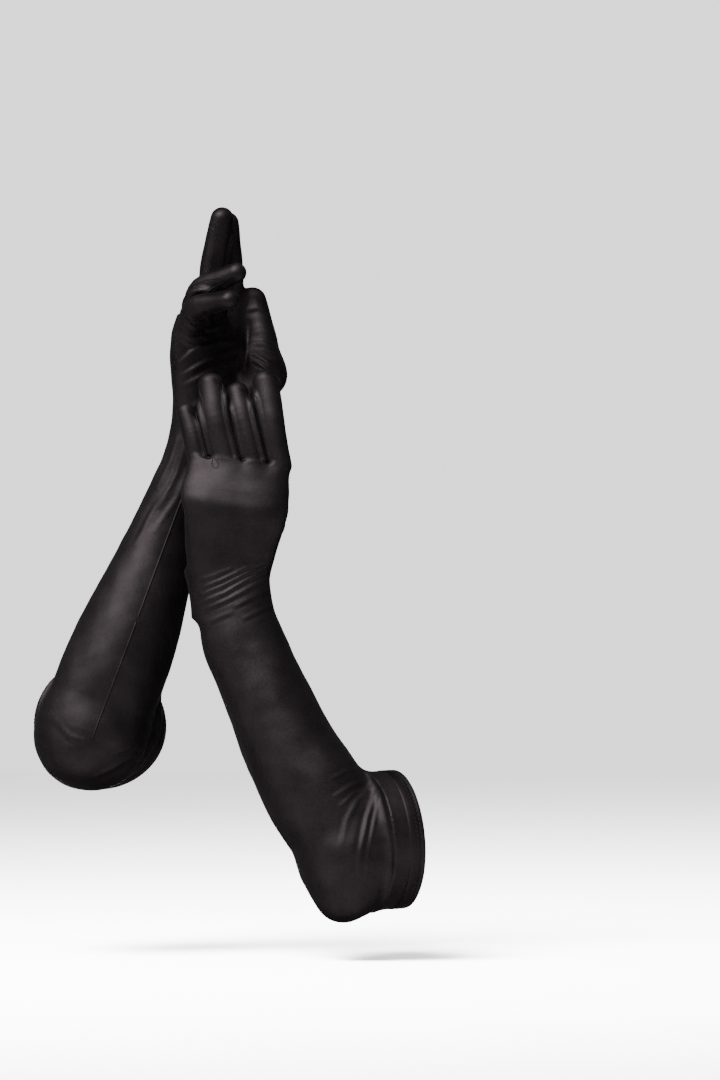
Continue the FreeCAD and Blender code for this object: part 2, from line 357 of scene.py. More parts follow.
def make_right():
    wrist = joint_at("right_wrist")
    palm = (0.70, -0.714, 0)
    digits = {
        "index_finger": Digit(
            "right_index_finger_bend", (0.8, 0, 36), (-2.6, -4, 73), (8.6, 8.5, 7.8), palm, 1.04
        ),
        "middle_finger": Digit(
            "right_middle_finger_bend", (0.8, -2, 36), (8.4, -8, 71.8), (9.8, 9.5, 8.3), palm, 1.02,
            shift=(-3.0, 0, 0),
        ),
        "ring_finger": Digit(
            "right_ring_finger_bend", (-0.8, -12, 21.5), (28.4, -29.8, 33.5), (9.4, 9.0, 7.6), palm, 1.05,
            sunk=6.0,
        ),
        "little_finger": Digit(
            "right_little_finger_bend", (4.0, -14, 16), (30.5, -37, 20), (9.2, 8.8, 7.4), palm, 1.05,
            shift=(5.0, -2.0, 0), sunk=4.0,
        ),
        "thumb": Digit(
            "right_thumb_spread", (-2.2, 7, 27), (-9.0, 13, 56.5), (13.6, 11.8, 9.8), palm,
            shift=(3.3, 0, 0), sunk=0.0,
        ),
    }
    base = wrist + np.array([25.0, 7.0, 22.0])
    thumb = digits["thumb"]
    web = digits["index_finger"].root + np.array([2.0, -1.0, -22.0])
    extras = [
        (base, thumb.root, 14.0, 14.0, 14.0),
        (thumb.root + thumb.along() * 6, web, 9.0, 9.0, 14.0),
        (wrist + np.array([-6.0, -10.0, 26.0]), wrist + np.array([-7.0, -9.0, 64.0]), 11.0, 11.8, 12.0),
    ]
    return Glove(
        "right",
        palm=palm,
        hand_up=(0.039, -0.011, 0.999),
        forearm_knots=[
            (-24, 0, 0, 20.0, 13.0),
            (-8, 0, 0, 23.6, 17.4),
            (10, 0, 0, 23.8, 18.2),
            (34, 0, 0, 25.4, 21.2),
            (64, 0, 0, 27.0, 24.4),
            (90, 0, 0, 29.4, 27.8),
            (117, 0, 0, 33.2, 31.8),
            (146, 0, 0, 37.0, 36.0),
            (168, 0, 0, 39.2, 38.0),
            (190, 0, 0, 40.2, 39.0),
            (212, 0, 0, 39.8, 39.0),
            (230, 0, 0, 38.0, 38.0),
        ],
        hand_knots=[
            (-24, 0, 0, 20.0, 13.0),
            (-8, 0, 0, 22.8, 16.8),
            (8, 0, 0, 22.0, 16.2),
            (26, 0, 0, 22.6, 14.5),
            (46, 0, 0, 26.6, 14.0),
            (62, 0, 0, 30.2, 13.2),
            (78, 0, 0, 32.0, 11.0),
            (92, 0, 0, 29.0, 6.0),
        ],
        digits=digits,
        extras=extras,
        elbow_radius=39.6,
        corner_shift=np.array([2.0, 0.0, 0.0]),
    )


# ---------------------------------------------------------------- skin meshing


def sample_field(field, low, high, step):
    """The field on a grid, worked out only in the blocks near the surface."""
    blocks = np.ceil((high - low) / (step * BLOCK)).astype(int)
    axes = [low[i] + step * BLOCK * np.arange(blocks[i] + 1) for i in range(3)]
    coarse = field(np.stack(np.meshgrid(*axes, indexing="ij"), -1).reshape(-1, 3))
    coarse = coarse.reshape(blocks + 1)
    nearest = np.full(blocks, np.inf)
    for i in (0, 1):
        for j in (0, 1):
            for k in (0, 1):
                corner = coarse[i:blocks[0] + i, j:blocks[1] + j, k:blocks[2] + k]
                nearest = np.minimum(nearest, np.abs(corner))
    active = nearest < step * BLOCK * 1.5
    values = np.where(coarse[:-1, :-1, :-1] < 0, -FAR, FAR)
    for axis in range(3):
        values = np.repeat(values, BLOCK, axis=axis)
        active = np.repeat(active, BLOCK, axis=axis)
    ids = np.argwhere(active)
    most = 400000  # samples worked out at once
    for part in np.array_split(np.arange(len(ids)), max(1, len(ids) // most)):
        cell = ids[part]
        values[cell[:, 0], cell[:, 1], cell[:, 2]] = field(low + step * cell)
    return values


def surface_net(values, low, step):
    """Vertices and quads where the sampled field is zero."""
    inside = values < 0
    nx, ny, nz = values.shape
    corners = [np.array((i, j, k)) for i in (0, 1) for j in (0, 1) for k in (0, 1)]
    count = np.zeros((nx - 1, ny - 1, nz - 1), np.int8)
    for i, j, k in corners:
        count += inside[i:nx - 1 + i, j:ny - 1 + j, k:nz - 1 + k]
    mixed = (count > 0) & (count < 8)
    cells = np.argwhere(mixed)
    index = np.full(mixed.shape, -1, np.int64)
    index[mixed] = np.arange(len(cells))
    total = np.zeros((len(cells), 3))
    hits = np.zeros(len(cells))
    for a in corners:
        for axis in range(3):
            if a[axis]:
                continue
            b = a.copy()
            b[axis] = 1
            fa, fb = values[tuple((cells + a).T)], values[tuple((cells + b).T)]
            crossed = (fa < 0) != (fb < 0)
            t = np.where(crossed, fa / np.where(crossed, fa - fb, 1.0), 0.0)
            total += np.where(crossed[:, None], a + t[:, None] * (b - a), 0.0)
            hits += crossed
    verts = low + step * (cells + total / hits[:, None])
    quads = []
    for axis in range(3):
        u, v = (axis + 1) % 3, (axis + 2) % 3
        first = np.take(inside, range(values.shape[axis] - 1), axis=axis)
        second = np.take(inside, range(1, values.shape[axis]), axis=axis)
        edge = np.argwhere(first != second)
        keep = (edge[:, u] > 0) & (edge[:, v] > 0)
        keep &= (edge[:, u] < mixed.shape[u]) & (edge[:, v] < mixed.shape[v])
        edge = edge[keep]
        step_u, step_v = np.eye(3, dtype=int)[u], np.eye(3, dtype=int)[v]
        ring = [edge, edge - step_u, edge - step_u - step_v, edge - step_v]
        quad = np.stack([index[tuple(r.T)] for r in ring], 1)
        flipped = ~first[tuple(edge.T)]
        quad[flipped] = quad[flipped][:, ::-1]
        quads.append(quad)
    return verts, np.vstack(quads)


def project(verts, field, rounds=2):
    """Moves vertices onto the surface of the field."""
    reach = 0.2  # mm, over which the field's slope is measured
    for _ in range(rounds):
        f = field(verts)
        slope = np.stack([(field(verts + e) - f) / reach for e in np.eye(3) * reach], 1)
        size = np.maximum((slope**2).sum(1), 0.2)
        verts = verts - slope * (np.clip(f, -1.5, 1.5) / size)[:, None]
    return verts


def smooth(verts, quads, rounds, amount=0.5):
    """Evens the vertices out along the skin."""
    pairs = np.vstack([quads[:, [0, 1]], quads[:, [1, 2]], quads[:, [2, 3]], quads[:, [3, 0]]])
    degree = np.bincount(pairs.ravel(), minlength=len(verts)).astype(float)
    for _ in range(rounds):
        total = np.zeros_like(verts)
        for axis in range(3):
            total[:, axis] = np.bincount(pairs[:, 0], verts[pairs[:, 1], axis], len(verts))
            total[:, axis] += np.bincount(pairs[:, 1], verts[pairs[:, 0], axis], len(verts))
        verts = verts + (total / np.maximum(degree, 1)[:, None] - verts) * amount
    return verts


def vertex_normals(verts, quads):
    face = np.cross(verts[quads[:, 2]] - verts[quads[:, 0]], verts[quads[:, 3]] - verts[quads[:, 1]])
    normals = np.zeros_like(verts)
    for corner in range(4):
        for axis in range(3):
            normals[:, axis] += np.bincount(quads[:, corner], face[:, axis], len(verts))
    return normals / np.maximum(np.linalg.norm(normals, axis=1), 1e-9)[:, None]


# ---------------------------------------------------------------- folds


class Fold:
    """A soft ridge along a line of (x, z) points on the viewer's side, with a hollow beside it."""

    def __init__(self, points, width, height, hollow=0.6):
        self.points = np.array(points, float)
        self.width = width
        self.height = height
        self.hollow = hollow

    def lift(self, verts):
        flat = verts[:, [0, 2]]
        near = np.full(len(verts), np.inf)
        side = np.zeros(len(verts))
        share = np.zeros(len(verts))
        lengths = np.linalg.norm(np.diff(self.points, axis=0), axis=1)
        done = 0.0
        for a, b, length in zip(self.points[:-1], self.points[1:], lengths):
            way = (b - a) / length
            t = np.clip((flat - a) @ way, 0, length)
            gap = flat - a - t[:, None] * way
            d = np.linalg.norm(gap, axis=1)
            closer = d < near
            near = np.where(closer, d, near)
            side = np.where(closer, way[0] * gap[:, 1] - way[1] * gap[:, 0], side)
            share = np.where(closer, (done + t) / lengths.sum(), share)
            done += length
        side = np.sign(side) * near
        fade = np.clip(4 * share * (1 - share), 0, 1) ** 0.5
        w = self.width
        ridge = np.exp(-((side / w) ** 2)) - self.hollow * np.exp(-(((side + 1.5 * w) / (1.1 * w)) ** 2))
        return self.height * fade * ridge


def ripple(verts, waves):
    """A sum of plane waves: (direction with length 2 pi / wavelength, phase, height)."""
    return sum(h * np.sin(verts @ np.array(k) + phase) for k, phase, h in waves)


def soft_waves(seed, count, wavelength, height):
    """Plane waves in directions and phases drawn from the seed, for ripple."""
    rng = np.random.default_rng(seed)
    waves = []
    for _ in range(count):
        k = unit(rng.normal(size=3)) * 2 * math.pi / (wavelength * rng.uniform(0.7, 1.4))
        waves.append((k, rng.uniform(0, 2 * math.pi), height / math.sqrt(count)))
    return waves


def smooth_step(x, low, high):
    t = np.clip((x - low) / (high - low), 0.0, 1.0)
    return t * t * (3 - 2 * t)


def pressed_fingers(glove, verts, normals):
    """How far each point of a finger's side swells to lie against the next finger.

    The swelling fades where the side turns away, where the next finger is too far, and at the tip.
    """
    fields = glove.digit_fields(verts)
    fields.pop("thumb")
    lift = np.zeros(len(verts))
    for first, second in zip(FINGERS[:-1], FINGERS[1:]):
        for own, other in ((first, second), (second, first)):
            digit = glove.digits[own]
            gap = fields[other]
            lean = np.abs(normals @ digit.across)
            along = (verts - digit.root) @ digit.along()
            reach = (digit.centre(1.0) - digit.root) @ digit.along()
            share = (fields[own] < gap) & (fields[own] < 3.0)
            weight = smooth_step(lean, 0.5, 0.85) * (1 - smooth_step(gap, 5.5, 8.0))
            weight *= smooth_step(along, -3.0, 2.0) * (1 - smooth_step(along, reach - 14.0, reach - 3.0))
            towards = np.sign((glove.digits[other].root - digit.root) @ digit.across)
            facing = normals @ digit.across * towards > 0
            swell = np.clip(gap * 0.5 + 0.4, 0, 3.2) * weight
            lift = np.where(share & facing, np.maximum(lift, swell), lift)
    return lift


def folded(glove, verts, normals, folds):
    """The skin with its folds and its soft unevenness."""
    verts = verts + normals * pressed_fingers(glove, verts, normals)[:, None]
    facing = np.clip(normals @ BACK * 1.6 + 0.2, 0, 1)
    lift = ripple(verts, soft_waves(3, 7, 46.0, 0.5))
    lift += ripple(verts, soft_waves(5, 9, 17.0, 0.10))
    for fold in folds:
        lift += fold.lift(verts) * facing
    return verts + normals * lift[:, None]


LEFT_FOLDS = [
    # a close bundle across the wrist, falling from the thumb's side to the little finger's
    Fold([(-21, -1), (-4, 6), (12, 14), (29, 20)], 1.25, 0.7),
    Fold([(-22, -6), (-5, 1), (12, 10), (30, 17)], 1.25, 0.8),
    Fold([(-20, -11), (-3, -4), (12, 5), (29, 13)], 1.25, 0.75),
    Fold([(-17, -16), (-1, -9), (14, -1), (29, 8)], 1.3, 0.65),
    Fold([(-22, 5), (-10, 9), (4, 15)], 1.3, 0.5),
    Fold([(4, -14), (16, -8), (30, -1)], 1.4, 0.55),
    Fold([(10, -23), (22, -17), (36, -11)], 1.6, 0.4),
    Fold([(-21, -26), (-10, -23), (4, -17)], 1.8, 0.35),
    # fanning out from the elbow's crease
    Fold([(108, -146), (101, -166), (96, -190), (93, -214)], 2.0, 0.85),
    Fold([(110, -147), (106, -168), (102, -190), (100, -208)], 1.5, 0.55),
    Fold([(113, -147), (117, -164), (119, -184)], 1.8, 0.4),
    Fold([(105, -143), (94, -153), (86, -168), (82, -188)], 2.2, 0.5),
    Fold([(102, -139), (90, -142), (76, -151)], 1.7, 0.5),
    Fold([(97, -131), (86, -132), (74, -138)], 1.6, 0.4),
    Fold([(104, -144), (92, -148), (80, -158)], 1.3, 0.35),
    # long soft pulls down the forearm
    Fold([(20, -40), (36, -80), (54, -118)], 7.0, 0.4),
    Fold([(-2, -45), (10, -90), (28, -132)], 7.0, 0.3),
]

RIGHT_FOLDS = [
    # across the palm, gathered where the thumb meets it
    Fold([(10, 182), (-8, 181), (-26, 174), (-40, 161)], 2.0, 0.9),
    Fold([(10, 178), (-6, 172), (-22, 163), (-37, 154)], 2.0, 1.0),
    Fold([(9, 172), (-5, 163), (-20, 155), (-34, 148)], 1.9, 0.8),
    Fold([(6, 166), (-6, 156), (-20, 147)], 2.0, 0.6),
    Fold([(-33, 201), (-27, 194), (-17, 190), (-8, 193)], 1.5, 0.7),
    Fold([(-25, 186), (-14, 189), (-3, 194)], 1.4, 0.6),
    Fold([(-31, 192), (-24, 186), (-16, 183)], 1.4, 0.6),
    Fold([(-36, 184), (-30, 178), (-20, 177)], 1.5, 0.5),
    Fold([(-34, 126), (-20, 138), (-6, 146)], 1.9, 0.4),
    # the thumb and its base
    Fold([(13, 180), (24, 180), (35, 176)], 2.4, 0.8),
    Fold([(16, 173), (26, 167), (38, 158)], 1.5, 0.7),
    Fold([(17, 168), (28, 160), (39, 152)], 1.5, 0.7),
    Fold([(20, 162), (31, 152), (38, 146)], 1.5, 0.6),
    Fold([(12, 205), (20, 207), (27, 204)], 2.0, 0.5),
    # the hollow between the palm and the thumb
    Fold([(13, 198), (12, 180), (11, 160)], 1.9, -1.0, 0.3),
    # beside the wrist and down the forearm's edge
    Fold([(-38, 112), (-44, 92), (-55, 72)], 2.0, 0.8),
    Fold([(-33, 106), (-39, 84), (-52, 58)], 2.0, 0.7),
    Fold([(-28, 92), (-38, 66), (-56, 40)], 2.2, 0.5),
    Fold([(-46, 74), (-58, 54), (-70, 30)], 2.0, 0.5),
    # near the elbow
    Fold([(-85, -121), (-74, -118), (-63, -116)], 1.8, 0.6),
    Fold([(-100, -139), (-84, -132), (-67, -121)], 2.0, 0.7),
    Fold([(-128, -96), (-116, -108), (-102, -112)], 2.4, 0.4),
]


# ---------------------------------------------------------------- Blender meshes


def new_object(name, verts, faces, normals=None):
    """A mesh object from millimetre vertices. Normals are per face corner, or None for plain smooth."""
    mesh = bpy.data.meshes.new(name)
    mesh.from_pydata((np.asarray(verts) * MM).tolist(), [], [list(map(int, f)) for f in faces])
    mesh.validate()
    mesh.shade_smooth()
    if normals is not None:
        mesh.normals_split_custom_set(normals.tolist())
    obj = bpy.data.objects.new(name, mesh)
    bpy.context.scene.collection.objects.link(obj)
    return obj


def boundary_edges(quads):
    """Directed edges that only one quad has."""
    edges = np.vstack([quads[:, [0, 1]], quads[:, [1, 2]], quads[:, [2, 3]], quads[:, [3, 0]]])
    key = np.sort(edges, axis=1)
    code = key[:, 0] * (edges.max() + 1) + key[:, 1]
    _, first, count = np.unique(code, return_index=True, return_counts=True)
    return edges[first[count == 1]]


def cloth_object(name, verts, quads, normals, mask):
    """A piece of the skin as cloth with two sides and closed edges, shaded as the whole skin is."""
    quads = quads[mask]
    used, local = np.unique(quads, return_inverse=True)
    quads = local.reshape(-1, 4)
    outer, n = verts[used], normals[used]
    inner = outer - n * CLOTH
    count = len(outer)
    rim = boundary_edges(quads)
    rim_quads = np.stack([rim[:, 1], rim[:, 0], rim[:, 0] + count, rim[:, 1] + count], 1)
    faces = np.vstack([quads, quads[:, ::-1] + count, rim_quads])
    points = np.vstack([outer, inner])
    corner = points[rim_quads[:, 0]]
    side = np.cross(points[rim_quads[:, 1]] - corner, points[rim_quads[:, 3]] - corner)
    side /= np.maximum(np.linalg.norm(side, axis=1), 1e-9)[:, None]
    corner_normals = np.vstack([n[quads.ravel()], -n[quads[:, ::-1].ravel()], np.repeat(side, 4, axis=0)])
    return new_object(name, points, faces, corner_normals), outer[np.unique(rim)]


class Skin:
    """A glove's whole skin, which pieces are cut from and seams are laid on."""

    def __init__(self, glove, folds):
        self.glove = glove
        ends = [d.tip for d in glove.digits.values()] + [d.bend for d in glove.digits.values()]
        ends += [glove.wrist, glove.elbow, glove.corner, glove.mouth]
        margin = 58.0
        low, high = np.min(ends, 0) - margin, np.max(ends, 0) + margin
        values = sample_field(glove.field, low, high, GRID_STEP)
        verts, quads = surface_net(values, low, GRID_STEP)
        verts = project(smooth(verts, quads, 3), glove.field)
        verts = smooth(verts, quads, 1)
        normals = vertex_normals(verts, quads)
        verts = folded(glove, verts, normals, folds)
        centre = verts[quads].mean(1)
        past_hem = (centre - glove.hem_start) @ glove.mouth_axis > 0
        self.quads = quads[~past_hem]
        self.verts = self.flatten_edge(verts)
        self.normals = vertex_normals(self.verts, self.quads)
        self.centre = self.verts[self.quads].mean(1)
        self.labels = self.label_faces()
        self.tree = BVHTree.FromPolygons(self.verts.tolist(), self.quads.tolist())

    def flatten_edge(self, verts):
        """Straightens the arm opening's edge where the hem takes it."""
        edge = np.unique(boundary_edges(self.quads))
        away = (verts[edge] - self.glove.hem_start) @ self.glove.mouth_axis
        verts = verts.copy()
        verts[edge] -= away[:, None] * self.glove.mouth_axis
        return verts

    def label_faces(self):
        """Names the part of the glove that each face belongs to."""
        g = self.glove
        along = (self.centre - g.wrist) @ g.down
        labels = np.full(len(self.centre), "hand", dtype="<U48")
        labels[along > FOREARM_SHARE * g.reach] = "forearm"
        labels[along > ELBOW_SHARE * g.reach] = "elbow"
        above = (self.centre - g.wrist) @ g.up > 0
        fields = g.digit_fields(self.centre)
        names = list(fields)
        nearest = np.argmin(np.stack([fields[n] for n in names]), 0)
        for i, name in enumerate(names):
            digit = g.digits[name]
            beyond = (self.centre - digit.root) @ digit.along() > (8.0 if name == "thumb" else 5.0)
            own = above & (nearest == i) & beyond & (fields[name] < 3.0)
            labels[own] = name
            for part, way in self.strips(name):
                lean = self.normals_at_faces() @ (digit.across * way)
                before_tip = (self.centre - digit.tip) @ digit.along() < 2.0
                labels[own & before_tip & (lean > STRIP_LEAN)] = name + part
        return labels

    def normals_at_faces(self):
        n = self.normals[self.quads].mean(1)
        return n / np.maximum(np.linalg.norm(n, axis=1), 1e-9)[:, None]

    def strips(self, name):
        """A finger's fourchettes: the name's ending, and which way along the finger's width it faces."""
        if name == "thumb":
            return []
        g = self.glove
        i = FINGERS.index(name)
        found = []
        for part, other in (("_outer_fourchette", i + 1), ("_inner_fourchette", i - 1)):
            if 0 <= other < len(FINGERS):
                towards = g.digits[FINGERS[other]].root - g.digits[name].root
                found.append((part, float(np.sign(towards @ g.digits[name].across))))
        return found

    def piece(self, label, name):
        return cloth_object(name, self.verts, self.quads, self.normals, self.labels == label)

    def on_surface(self, start, way):
        """Where a line from start along way meets the skin, or None."""
        hit = self.tree.ray_cast(Vector(start), Vector(way))[0]
        return None if hit is None else np.array(hit)


def tube_object(name, points, radius, sides=8):
    """A thin round thread or welt along points, closed at both ends."""
    points = np.array(points, float)
    ways = np.gradient(points, axis=0)
    ways /= np.linalg.norm(ways, axis=1)[:, None]
    helper = np.array([0.31, 0.77, 0.55])  # a direction that no seam here runs along
    u = np.cross(ways, helper)
    u /= np.linalg.norm(u, axis=1)[:, None]
    v = np.cross(ways, u)
    verts, faces = [], []
    for i, p in enumerate(points):
        end = 0.35 if i in (0, len(points) - 1) else 1.0
        for k in range(sides):
            turn = 2 * math.pi * k / sides
            verts.append(p + (u[i] * math.cos(turn) + v[i] * math.sin(turn)) * radius * end)
    for i in range(len(points) - 1):
        for k in range(sides):
            a, b = i * sides + k, i * sides + (k + 1) % sides
            faces.append((a, b, b + sides, a + sides))
    faces.append(tuple(range(sides))[::-1])
    faces.append(tuple(range(len(verts) - sides, len(verts))))
    return new_object(name, verts, faces)


# ---------------------------------------------------------------- materials


def node_tree(name):
    """A new material with its nodes, its links and its shader."""
    material = bpy.data.materials.new(name)
    material.use_nodes = True
    nodes, links = material.node_tree.nodes, material.node_tree.links
    return material, nodes, links, nodes["Principled BSDF"]


def satin_material(name, base, roughness, weave_depth=0.12):
    """Black stretch satin: a close weave of fine ribs, a soft uneven sheen, and slight mottling."""
    material, nodes, links, shader = node_tree(name)
    shader.inputs["Roughness"].default_value = roughness
    shader.inputs["Metallic"].default_value = 1.0  # threads that reflect only; their edges stay dark
    shader.inputs["Specular Tint"].default_value = (0.03, 0.025, 0.028, 1)
    shader.inputs["Sheen Weight"].default_value = 0.002
    shader.inputs["Sheen Roughness"].default_value = 0.5
    shader.inputs["Anisotropic"].default_value = 0.3
    place = nodes.new("ShaderNodeTexCoord")

    mottle = nodes.new("ShaderNodeTexNoise")
    mottle.inputs["Scale"].default_value = 900.0
    mottle.inputs["Detail"].default_value = 3.0
    links.new(place.outputs["Object"], mottle.inputs["Vector"])
    cloud = nodes.new("ShaderNodeTexNoise")
    cloud.inputs["Scale"].default_value = 45.0
    cloud.inputs["Detail"].default_value = 4.0
    links.new(place.outputs["Object"], cloud.inputs["Vector"])
    both = nodes.new("ShaderNodeMix")
    both.inputs["Factor"].default_value = 0.5
    links.new(mottle.outputs["Fac"], both.inputs["A"])
    links.new(cloud.outputs["Fac"], both.inputs["B"])
    tint = nodes.new("ShaderNodeValToRGB")
    tint.color_ramp.elements[0].position = 0.3
    tint.color_ramp.elements[1].position = 0.7
    tint.color_ramp.elements[0].color = (*[c * 0.6 for c in base], 1)
    tint.color_ramp.elements[1].color = (*[c * 1.4 for c in base], 1)
    links.new(both.outputs["Result"], tint.inputs["Fac"])
    links.new(tint.outputs["Color"], shader.inputs["Base Color"])

    shine = nodes.new("ShaderNodeMapRange")
    shine.inputs["To Min"].default_value = roughness - 0.06
    shine.inputs["To Max"].default_value = roughness + 0.08
    links.new(both.outputs["Result"], shine.inputs["Value"])
    links.new(shine.outputs["Result"], shader.inputs["Roughness"])

    ribs = nodes.new("ShaderNodeTexWave")
    ribs.wave_type = "BANDS"
    ribs.bands_direction = "DIAGONAL"
    ribs.inputs["Scale"].default_value = 700.0
    ribs.inputs["Distortion"].default_value = 3.0
    ribs.inputs["Detail"].default_value = 2.0
    links.new(place.outputs["Object"], ribs.inputs["Vector"])
    grain = nodes.new("ShaderNodeMix")
    grain.inputs["Factor"].default_value = 0.5
    links.new(ribs.outputs["Fac"], grain.inputs["A"])
    links.new(mottle.outputs["Fac"], grain.inputs["B"])
    bump = nodes.new("ShaderNodeBump")
    bump.inputs["Strength"].default_value = weave_depth
    bump.inputs["Distance"].default_value = 0.0003
    links.new(grain.outputs["Result"], bump.inputs["Height"])
    links.new(bump.outputs["Normal"], shader.inputs["Normal"])
    return material


def stage_material():
    material, _, _, shader = node_tree("pale_floor")
    shader.inputs["Base Color"].default_value = (0.92, 0.92, 0.92, 1)
    shader.inputs["Roughness"].default_value = 0.9
    return material


SATIN = satin_material("satin", (0.0031, 0.0026, 0.0028), 0.54)
HEM_SATIN = satin_material("hem_satin", (0.0029, 0.0024, 0.0026), 0.56, 0.18)
SEAM_SATIN = satin_material("seam_satin", (0.0033, 0.0028, 0.0030), 0.5, 0.2)
THREAD = satin_material("thread", (0.0046, 0.0041, 0.0043), 0.6, 0.3)


def finish_piece(obj, material, slot, replaced=()):
    """Gives a piece its material, and hides the CAD nodes that it stands for. The slot is not used."""
    obj.data.materials.append(material)
    if replaced:
        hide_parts(*replaced)


# ---------------------------------------------------------------- pieces


def hem_profile(glove):
    """The turned hem's section as (distance along the opening's axis, radius) points, going round."""
    inner, outer = glove.hem_radius - 0.2, glove.hem_radius + BAND_OUT + HEM_CLOTH
    start, end = -HEM_OVERLAP, HEM_WIDTH
    lip = (outer - inner) / 2
    middle = (outer + inner) / 2
    points = [(start, outer - 0.55), (start + 0.6, outer - 0.1), (start + 1.6, outer)]
    points += [(end - 4.2, outer + 0.1), (end - 3.5, outer - 0.35), (end - 2.8, outer + 0.1)]
    for i in range(9):
        turn = math.pi / 2 - math.pi * i / 8
        points.append((end - lip + lip * math.cos(turn), middle + lip * math.sin(turn)))
    points += [(start + 1.0, inner), (start, inner + 0.4)]
    return points


def ring_frame(axis):
    """Two directions at right angles to the axis and to each other."""
    u = unit(np.cross(axis, [0.1, 0.2, 1.0]))
    return u, np.cross(axis, u)


def hem_radius_at(turn):
    """The opening's slight unevenness, as a share of its radius."""
    return 1.0 + 0.006 * math.sin(2 * turn + 0.6) + 0.003 * math.sin(5 * turn)


def make_hem(glove):
    """The folded band that finishes the arm opening."""
    u, v = ring_frame(glove.mouth_axis)
    profile = hem_profile(glove)
    segments = 180
    verts, faces = [], []
    for i in range(segments):
        turn = 2 * math.pi * i / segments
        way = u * math.cos(turn) + v * math.sin(turn)
        for along, radius in profile:
            even = min(1.0, max(0.0, (along + HEM_OVERLAP) / HEM_WIDTH))
            r = radius * (1 + (hem_radius_at(turn) - 1) * even)
            verts.append(glove.hem_start + glove.mouth_axis * along + way * r)
    n = len(profile)
    for i in range(segments):
        j = (i + 1) % segments
        for k in range(n):
            m = (k + 1) % n
            faces.append((i * n + k, i * n + m, j * n + m, j * n + k))
    side = glove.side
    hem = new_object(side + "_hem_band", verts, faces)
    finish_piece(hem, HEM_SATIN, "hem", [side + "_hem"])
    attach(hem, side + "_cuff")


def make_hem_stitches(glove):
    """Two rows of short stitches round the hem, in the channel near its edge."""
    u, v = ring_frame(glove.mouth_axis)
    count = int(2 * math.pi * glove.hem_radius / 3.2)
    verts, faces = [], []
    base_radius = glove.hem_radius + BAND_OUT + HEM_CLOTH
    for row, along in enumerate((HEM_WIDTH - 3.5, HEM_WIDTH - 6.0)):
        for i in range(count):
            start = len(verts)
            for step in range(5):
                share = step / 4
                turn = 2 * math.pi * (i + 0.5 * row + 0.72 * share) / count
                way = u * math.cos(turn) + v * math.sin(turn)
                arch = math.sin(math.pi * share)
                r = (base_radius - 0.3 + 0.35 * arch) * hem_radius_at(turn)
                centre = glove.hem_start + glove.mouth_axis * along + way * r
                thick = 0.12 + 0.16 * arch
                for k in range(6):
                    a = math.pi * k / 3
                    verts.append(centre + (way * math.cos(a) + glove.mouth_axis * math.sin(a)) * thick)
            for step in range(4):
                for k in range(6):
                    a, b = start + step * 6 + k, start + step * 6 + (k + 1) % 6
                    faces.append((a, b, b + 6, a + 6))
            faces.append(tuple(range(start, start + 6))[::-1])
            faces.append(tuple(range(start + 24, start + 30)))
    stitches = new_object(glove.side + "_hem_stitches", verts, faces)
    finish_piece(stitches, THREAD, "seam")
    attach(stitches, glove.side + "_cuff")


def metres(v):
    """A place in millimetres as a tuple in metres."""
    return tuple(float(x) for x in np.asarray(v) * MM)


def make_body_pieces(skin):
    """The elbow, the forearm, the hand, the fingers and the thumb."""
    g, side = skin.glove, skin.glove.side
    elbow, elbow_rim = skin.piece("elbow", side + "_elbow_sleeve")
    finish_piece(elbow, SATIN, "satin", [side + "_elbow_section"])
    way = unit(g.mouth_axis + g.down)
    to_hem = (elbow_rim - g.hem_start) @ g.mouth_axis > -1.5
    start = float((elbow_rim[~to_hem] @ way).max())
    end = float((elbow_rim[to_hem] @ way).min())
    elbow_span = metres(way * start), metres(way * max(end, start + 8))
    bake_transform(elbow)

    forearm, _ = skin.piece("forearm", side + "_forearm_satin")
    finish_piece(forearm, SATIN, "satin", [side + "_forearm_sleeve"])
    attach(forearm, side + "_forearm")

    hand, _ = skin.piece("hand", side + "_hand_satin")
    finish_piece(hand, SATIN, "satin", [side + "_hand", side + "_wrist_section"])
    wrist_way = unit(g.up - g.down)
    low, high = g.wrist - wrist_way * 20.0, g.wrist + wrist_way * 16.0
    metres(low)
    metres(high)
    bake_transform(hand)

    spans = {}
    for name, digit in g.digits.items():
        along = digit.along()
        own = np.char.startswith(skin.labels, name)
        rim = skin.verts[np.unique(boundary_edges(skin.quads[own]))]
        start = float((rim @ along).max()) + 0.1
        if name != "thumb":
            # fingers that lie against each other have rims that run to their tips, so this limits the start
            start = min(start, float(digit.root @ along) + 9.5)
        spans[name] = (along, start, start + BEND_LENGTH)
        parts = [("", SATIN, "satin")] + [(part, SEAM_SATIN, "fourchette") for part, _ in skin.strips(name)]
        for part, material, slot in parts:
            obj, _ = skin.piece(name + part, f"{side}_{name}{part}_satin")
            finish_piece(obj, material, slot, [f"{side}_{name}{part}"])
            blend_digit(obj, side, name, spans[name])
    return spans, elbow_span


def blend_digit(obj, side, name, span):
    """Bakes a finger's piece where it stands. The span changes nothing, and the piece does not bend."""
    along, start, end = span
    metres(along * start)
    metres(along * end)
    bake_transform(obj)


def strip_edge(skin, name, way, lift, sink):
    """A fourchette's seam line from just above the joint to the tip, on the back (lift 1) or palm (-1)."""
    digit = skin.glove.digits[name]
    starts, ways = [], []
    for share in np.linspace(0.10, 0.97, 46):
        turn = math.acos(STRIP_LEAN) * min(1.0, (1.02 - share) / 0.2)
        ways.append(unit(digit.across * way * math.cos(turn) + digit.back * lift * math.sin(turn)))
        starts.append(digit.centre(share))
    return seam_points(skin, starts, ways, sink)


